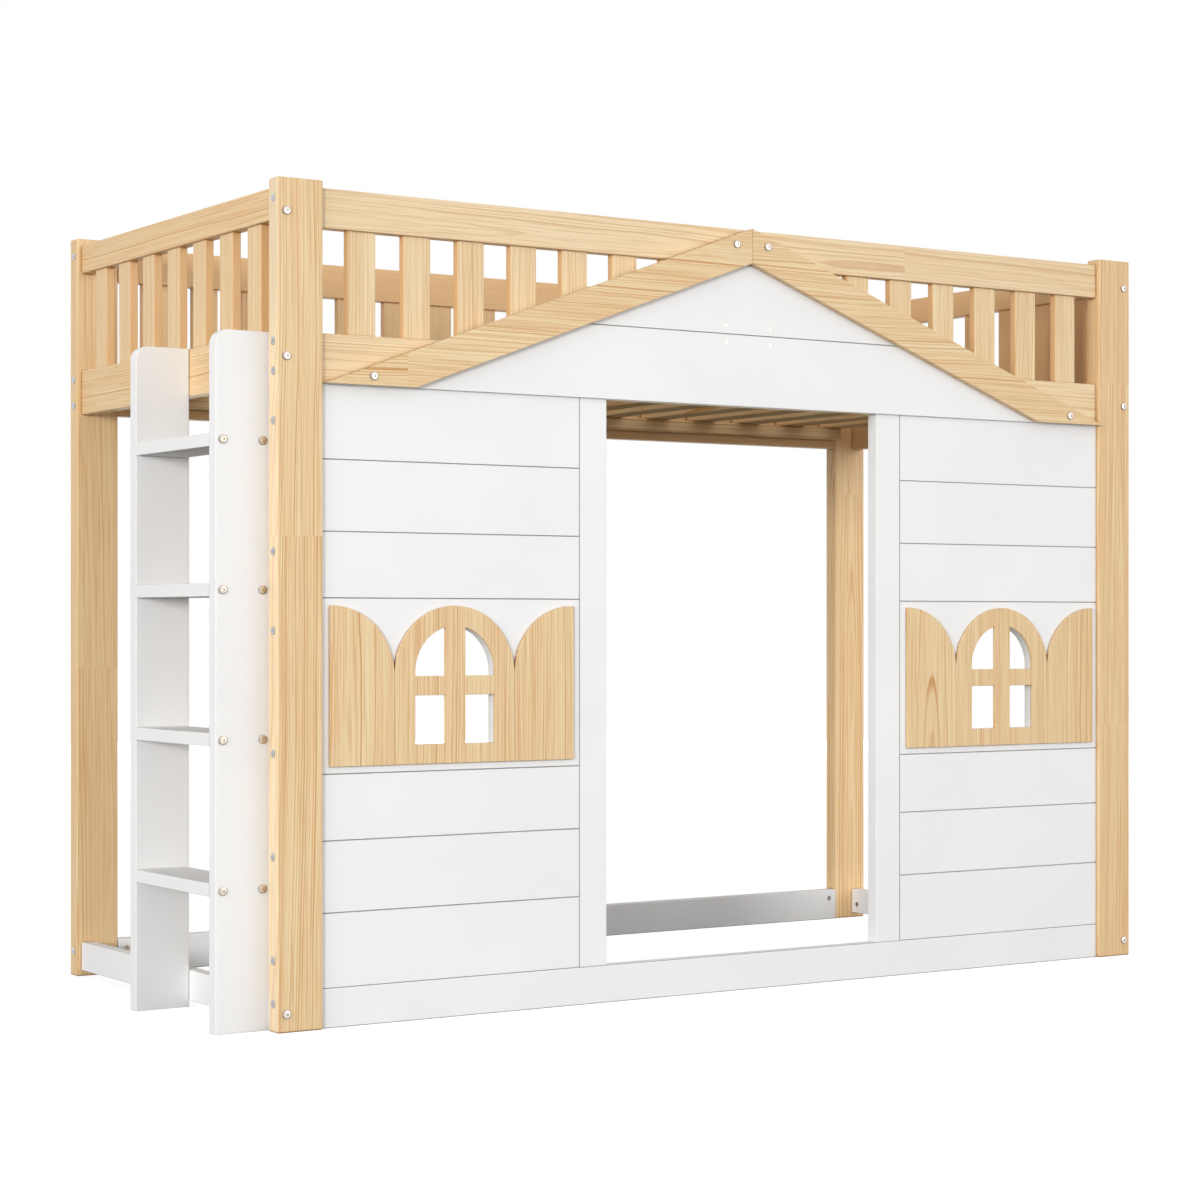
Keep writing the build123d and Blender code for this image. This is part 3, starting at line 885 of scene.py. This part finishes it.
@dataclass
class Roof(Woodwork):
    """The white gable, its packer and the two pine roof boards."""

    # The gable's painted shade is a lighter grey.
    paint: PaintFinish = PaintFinish(shade_and_joint_grey=(0.36, 0.36, 0.37, 1.0))
    cut: Lumber = Lumber(Axis.ALONG, Axis.UP, heart_spread=0.12)
    seams: dict[str, tuple[float, ...]] = field(default_factory=lambda: {
        "left": (-0.7325,), "right": (),
    })

    def build(self) -> None:
        """Dress the gable and the roof boards, which meet at the ridge."""
        white = self.paint.material("gable_paint")
        for level in ("lower", "upper"):
            self.dress(f"gable_{level}_sheet", white)
        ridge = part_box("right_roof_board")[0].x
        for side, seams in self.seams.items():
            self.wood(f"{side}_roof_board", replace(self.cut, seams=seams, end_joint=ridge))
        self.wood("gable_packer", Lumber(Axis.ALONG, Axis.UP))


@dataclass
class Deck(Woodwork):
    """The slats that carry the mattress, and the ledgers under their ends."""

    slat_width: float = 0.064
    slat_count: int = 15
    roughness: float = 0.60

    def build(self) -> None:
        """Dress the slats and ledgers, which are left without lacquer."""
        self.pine = replace(self.pine, roughness=self.roughness, mirror=0.0)
        repeat = Repeat(Axis.ALONG, self.slat_width, self.slat_count)
        self.wood("bed_slats", Lumber(Axis.BACK, Axis.ALONG, repeat=repeat))
        for side in ("front", "rear"):
            self.wood(f"{side}_slat_ledger", Lumber(Axis.ALONG, Axis.UP))


@dataclass
class Ladder(Assembly):
    """The white ladder."""

    paint: PaintFinish = PaintFinish(sheen=Sheen.MATT)
    tread_count: int = 4

    def build(self) -> None:
        """Dress the ladder."""
        white = self.paint.material("ladder_paint")
        treads = [f"ladder_tread_{number}" for number in range(1, self.tread_count + 1)]
        for node in ("ladder_front_rail", "ladder_rear_rail", *treads):
            self.dress(node, white)


@dataclass(frozen=True)
class Seat:
    """One fixing of the CAD model: the seat and facing of its head, and its measures."""

    place: Vector
    facing: Vector
    reach: float
    radius: float
    height: float


@dataclass
class BoltSet:
    """Like bolts made anew with a domed, softly edged head and a six-sided socket.

    Attributes:
        node: The CAD node that the bolts stand for.
        slot: The record's material slot, which is not used.
        head_ratio: Shank radii from the axis beyond which all is head.
        tip: Bevel at the end of the shank.
        key_reach: Half the width of the socket across its flats.
        key_shares: The socket, in shares of its corner's reach and, above the crown, of the height, with
            the share of painted shade at each point.
        dome_share: Share of the head's height that the dome's curve takes.
        brow_share: Share of it at which the dome meets the side.
        foot_share: Share of the head's radius that it stands on.
        crown_shade: How much painted shade the crown takes, by degrees from its middle.
        even_shade: Share of the painted shade that is the same above and below.
        shade_fall: How fast the rest of the painted shade grows down the head.
        crease: Angle from which an edge is sharp.
    """

    node: str
    slot: str
    finish: PlateFinish
    shank_radius: float = 0.003
    head_ratio: float = 1.5
    tip: float = 0.0006
    key_reach: float = 0.0025
    key_shares: Section = (
        (0.0, -0.56, 0.0), (0.80, -0.51, 0.45), (0.97, -0.51, 1.0),
        (1.0, -0.47, 1.0), (1.0, -0.02, 0.7), (1.10, 0.04, 0.20),
    )
    dome_share: float = 0.48
    brow_share: float = 0.46
    foot_share: float = 0.985
    crown_shade: tuple[tuple[float, float], ...] = (
        (32, 0.0), (42, 0.0), (52, 0.15), (62, 0.55), (72, 1.0), (82, 1.0),
    )
    even_shade: float = 0.55
    shade_fall: float = 1.5
    steps: int = 36
    crease: float = math.radians(38)
    weld: float = 0.000001

    @property
    def corner(self) -> float:
        """How far the socket's corners reach from the axis."""
        return self.key_reach / math.cos(SIXTH / 2)

    def seats(self) -> list[Seat]:
        """Find each bolt of the CAD node.

        Returns:
            Their seats, in a fixed order.
        """
        solid = bmesh.new()
        solid.from_mesh(NODES[self.node].data)
        bmesh.ops.remove_doubles(solid, verts=solid.verts, dist=self.weld)
        seen = set()
        seats = []
        for start in solid.verts:
            if start not in seen:
                island = self.island(start)
                seen |= island
                seats.append(self.seat([vertex.co.copy() for vertex in island]))
        solid.free()
        return sorted(seats, key=lambda seat: tuple(round(part, 4) for part in seat.place))

    def island(self, start: bmesh.types.BMVert) -> set[bmesh.types.BMVert]:
        """Find all vertices of the solid that a vertex belongs to.

        Args:
            start: The vertex.

        Returns:
            The solid's vertices.
        """
        found, edge = {start}, {start}
        while edge:
            edge = {link.other_vert(vertex) for vertex in edge for link in vertex.link_edges} - found
            found |= edge
        return found

    def seat(self, points: list[Vector]) -> Seat:
        """Measure a bolt from its points.

        Args:
            points: The points of one bolt.

        Returns:
            Its seat.
        """
        low = Vector([min(point[axis] for point in points) for axis in range(3)])
        high = Vector([max(point[axis] for point in points) for axis in range(3)])
        size = high - low
        along = max(range(3), key=lambda axis: size[axis])
        others = [axis for axis in range(3) if axis != along]
        middle = (low + high) / 2
        limit = self.shank_radius * self.head_ratio
        wide = [
            point[along] for point in points
            if math.hypot(*(point[axis] - middle[axis] for axis in others)) > limit
        ]
        sign = 1 if sum(wide) / len(wide) > middle[along] else -1
        bearing = min(wide) if sign > 0 else max(wide)
        outer = high[along] if sign > 0 else low[along]
        place = middle.copy()
        place[along] = bearing
        facing = Vector([sign if axis == along else 0 for axis in range(3)])
        height = abs(outer - bearing)
        return Seat(place, facing, size[along] - height, size[others[0]] / 2, height)

    def profile(self, seat: Seat) -> Section:
        """Half section of the bolt, above its seat.

        Args:
            seat: The bolt's measures.

        Returns:
            The points, from the floor of the socket round to the end of the shank.
        """
        radius, height = seat.radius, seat.height
        crown = []
        for degrees, painted_shade in self.crown_shade:
            turn = math.radians(degrees)
            rise = 1.0 - self.dome_share + self.dome_share * math.cos(turn)
            crown.append((radius * math.sin(turn), height * rise, painted_shade))
        top = crown[0][1]
        return (
            *((self.corner * out, top + height * up, painted_shade) for out, up, painted_shade in self.key_shares),
            *crown,
            (radius, height * self.brow_share, 1.0),
            (radius * self.foot_share, 0.0, 1.0),
            (self.shank_radius, 0.0, 0.0),
            (self.shank_radius, self.tip - seat.reach, 0.0),
            (self.shank_radius - self.tip, -seat.reach, 0.0),
            (0.0, -seat.reach, 0.0),
        )

    def turned(self, seat: Seat) -> bmesh.types.BMesh:
        """Turn one bolt on its axis, press its socket six-sided and set it on its seat.

        Args:
            seat: Where it goes.

        Returns:
            The bolt's mesh.
        """
        solid = bmesh.new()
        # The rim attribute holds each point's share of painted shade.
        rim = solid.verts.layers.float.new("rim")
        profile = self.profile(seat)
        ring = [solid.verts.new((across, 0.0, up)) for across, up, _ in profile]
        edges = [solid.edges.new(pair) for pair in zip(ring, ring[1:])]
        bmesh.ops.spin(
            solid, geom=ring + edges, cent=(0, 0, 0), axis=(0, 0, 1),
            angle=math.tau, steps=self.steps, use_merge=True, use_duplicate=False,
        )
        bmesh.ops.remove_doubles(solid, verts=solid.verts, dist=self.weld)
        for vertex in solid.verts:
            across = math.hypot(vertex.co.x, vertex.co.y)
            vertex[rim] = min(profile, key=lambda point: math.dist(point[:2], (across, vertex.co.z)))[2]
            if 0 < across <= self.corner + self.weld and vertex.co.z > 0:
                turn = math.atan2(vertex.co.y, vertex.co.x) % SIXTH - SIXTH / 2
                flat = math.cos(SIXTH / 2) / math.cos(turn)
                vertex.co.x *= flat
                vertex.co.y *= flat
        bmesh.ops.recalc_face_normals(solid, faces=solid.faces)
        turn = Vector((0, 0, 1)).rotation_difference(seat.facing).to_matrix().to_4x4()
        bmesh.ops.transform(solid, matrix=Matrix.Translation(seat.place) @ turn, verts=solid.verts)
        # Painted shade: more on the lower half of the head, as if lit from above.
        for vertex in solid.verts:
            drop = self.shade_fall * (seat.place.z - vertex.co.z) / seat.radius
            vertex[rim] *= self.even_shade + (1.0 - self.even_shade) * max(-1.0, min(1.0, drop))
        return solid

    def build(self) -> str:
        """Make the whole set as one piece in place of the CAD node.

        Returns:
            The name of the new piece.
        """
        name = f"{self.node}_turned"
        mesh = bpy.data.meshes.new(name)
        whole = bmesh.new()
        whole.verts.layers.float.new("rim")
        for seat in self.seats():
            one = self.turned(seat)
            part = bpy.data.meshes.new("part")
            one.to_mesh(part)
            one.free()
            whole.from_mesh(part)
            bpy.data.meshes.remove(part)
        for face in whole.faces:
            face.smooth = True
        for edge in whole.edges:
            edge.smooth = edge.calc_face_angle(0.0) < self.crease
        whole.to_mesh(mesh)
        whole.free()
        piece = add_object(name, mesh)
        mesh.materials.append(self.finish.material(f"{self.node}_plate"))
        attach(piece, "root")
        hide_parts(self.node)
        return name


@dataclass
class Fixings(Assembly):
    """All the bolts, screws and nuts."""

    pearl: PlateFinish = PlateFinish(Plating.PEARL)
    champagne: PlateFinish = PlateFinish(Plating.CHAMPAGNE)
    bronze: PlateFinish = PlateFinish(Plating.BRONZE, 0.38)
    zinc: PlateFinish = PlateFinish(Plating.ZINC, 0.34, 0.45)

    def build(self) -> None:
        """Make the bolts and dress the small screws and nuts."""
        self.done += [
            BoltSet("post_face_bolts", "nickel", self.pearl).build(),
            BoltSet("roof_bolts", "nickel", self.pearl).build(),
            BoltSet("ladder_bolts", "nickel", self.champagne).build(),
            BoltSet("post_end_bolts", "zinc_steel", self.zinc).build(),
        ]
        for node, finish in (("barrel_nuts", self.bronze), ("gable_screws", self.champagne)):
            self.dress(node, finish.material(f"{node}_plate"))


class Side(Enum):
    """A side that the sky's light comes from."""

    FRONT = (0.0, -1.0, 0.0)
    RIGHT = (1.0, 0.0, 0.0)
    TOP = (0.0, 0.0, 1.0)


@dataclass(frozen=True)
class Lamp:
    """A soft square lamp that faces the middle of the bed; its power is in watts.

    Attributes:
        mirrored: Whether glossy surfaces mirror it.
        aim_height: Height of the point that it faces.
    """

    name: str
    place: tuple[float, float, float]
    power: float
    size: float = 5.0
    tint: tuple[float, float, float] = (1.0, 0.99, 0.975)
    mirrored: bool = True
    aim_height: float = 0.8

    def hang(self) -> None:
        """Make the lamp and turn it to the bed."""
        data = bpy.data.lights.new(self.name, "AREA")
        data.shape = "SQUARE"
        data.size = self.size
        data.energy = self.power
        data.color = self.tint
        lamp = add_object(self.name, data)
        lamp.location = self.place
        aim = Vector((0.0, 0.0, self.aim_height)) - Vector(self.place)
        lamp.rotation_euler = aim.to_track_quat("-Z", "Y").to_euler()
        lamp.visible_camera = False
        lamp.visible_glossy = self.mirrored


@dataclass
class Studio(Assembly):
    """The floor, the lamps, the backdrop and the camera.

    Attributes:
        camera_turn: How far the camera looks to the right of straight back, in radians.
        lens: Focal length and sensor width, in millimetres.
        shift: Shift of the frame, as shares of its width.
        sight: How far the camera sees.
        floor_reach: Half the width of the floor.
        floor_dark: The floor's grey in the light that it throws on the bed.
        floor_light: Its grey where it is seen.
        glow_share: Share of glowing white that is mixed into that.
        even_power: Strength of the sky all round.
        side_power: Strength that the sky gains towards each side.
    """

    camera_place: tuple[float, float, float] = (-3.11552, -4.82654, 0.73226)
    camera_turn: float = 0.586172
    lens: tuple[float, float] = (80.708, 36.0)
    shift: tuple[float, float] = (-0.0272, 0.01933)
    sight: float = 200.0
    floor_reach: float = 40.0
    floor_dark: Colour = (0.15, 0.15, 0.15, 1.0)
    floor_light: Colour = (0.92, 0.92, 0.92, 1.0)
    floor_glow: float = 1.2
    glow_share: float = 0.73
    even_power: float = 0.08
    side_power: dict[Side, float] = field(default_factory=lambda: {
        Side.FRONT: 0.745,
        Side.RIGHT: 1.02,
        Side.TOP: 0.15,
    })
    lamps: tuple[Lamp, ...] = (
        Lamp("key_lamp", (-11.10, -9.39, 2.2), 900.0, size=2.1, mirrored=False),
        Lamp("side_lamp", (-11.0, -3.0, 2.6), 512.0, mirrored=False),
        Lamp("right_lamp", (2.5, -5.2, 1.2), 66.0, size=3.6),
        Lamp("rear_lamp", (5.5, 9.5, 1.2), 640.0, mirrored=False),
    )

    def camera(self) -> None:
        """Set up the camera at the photographed angle."""
        data = bpy.data.cameras.new("camera")
        data.lens, data.sensor_width = self.lens
        data.shift_x, data.shift_y = self.shift
        data.clip_end = self.sight
        camera = add_object("camera", data)
        camera.location = self.camera_place
        camera.rotation_euler = (math.radians(90), 0, -self.camera_turn)
        bpy.context.scene.camera = camera

    def backdrop_share(self, bench: Bench) -> Socket:
        """Tell rays that show the backdrop itself from those that light the bed.

        Args:
            bench: The bench of the floor's material or the sky.

        Returns:
            One for the first and nothing for the others.
        """
        path = bench.add("ShaderNodeLightPath")
        seen = bench.calc("MAXIMUM", path.outputs["Is Camera Ray"], path.outputs["Is Glossy Ray"])
        return bench.calc("MAXIMUM", seen, path.outputs["Is Transmission Ray"])

    def floor(self) -> None:
        """Lay a pale floor that keeps a soft shadow."""
        mesh = bpy.data.meshes.new("floor")
        sheet = bmesh.new()
        bmesh.ops.create_grid(sheet, x_segments=1, y_segments=1, size=self.floor_reach)
        sheet.to_mesh(mesh)
        sheet.free()
        floor = add_object("floor", mesh)
        bench = Bench.for_material("floor_white")
        seen = self.backdrop_share(bench)
        grey = bench.mix(seen, self.floor_dark, self.floor_light)
        matt = bench.add("ShaderNodeBsdfDiffuse", {"Color": grey})
        glow = bench.add("ShaderNodeEmission", {"Strength": self.floor_glow})
        share = bench.calc("MULTIPLY", seen, self.glow_share)
        join = bench.add("ShaderNodeMixShader", (share, matt.outputs[0], glow.outputs[0]))
        bench.add("ShaderNodeOutputMaterial", [join.outputs[0]])
        mesh.materials.append(bench.owner)

    def sky(self) -> None:
        """Surround the bed with soft light, stronger towards some sides, behind a white backdrop."""
        bench = Bench(bpy.data.worlds.new("sky"))
        bpy.context.scene.world = bench.owner
        seen = self.backdrop_share(bench)
        towards = bench.add("ShaderNodeTexCoord").outputs["Generated"]
        level = self.even_power
        for side, power in self.side_power.items():
            aim = bench.add("ShaderNodeVectorMath", (towards, side.value), operation="DOT_PRODUCT")
            glow = bench.calc("MAXIMUM", aim.outputs["Value"], 0.0)
            level = bench.calc("ADD", level, bench.calc("MULTIPLY", glow, power))
        level = bench.calc("ADD", seen, bench.calc("MULTIPLY", bench.calc("SUBTRACT", 1.0, seen), level))
        shine = bench.add("ShaderNodeBackground", ((1.0, 1.0, 1.0, 1.0), level))
        bench.add("ShaderNodeOutputWorld", [shine.outputs[0]])

    def build(self) -> None:
        """Build the whole studio."""
        self.camera()
        self.floor()
        self.sky()
        for lamp in self.lamps:
            lamp.hang()
        bpy.context.scene.view_settings.view_transform = "Standard"
        self.done += ["camera", "floor", "sky", *(lamp.name for lamp in self.lamps)]


def main() -> None:
    """Build the sub-assemblies in order and report each piece."""
    logging.basicConfig(level=logging.INFO, format="%(message)s")
    pine = PineFinish()
    assemblies = {
        "studio": Studio(),
        "posts": Posts(pine, 10),
        "rails": Rails(pine, 30),
        "guard rail": GuardRail(pine, 60),
        "house front": HouseFront(pine, 80),
        "windows": Windows(pine, 90),
        "roof": Roof(pine, 110),
        "deck": Deck(pine, 130),
        "ladder": Ladder(),
        "fixings": Fixings(),
    }
    for name, assembly in assemblies.items():
        assembly.build()
        for piece in assembly.done:
            logging.info("%s: %s", name, piece)


if __name__ == "__main__":
    main()
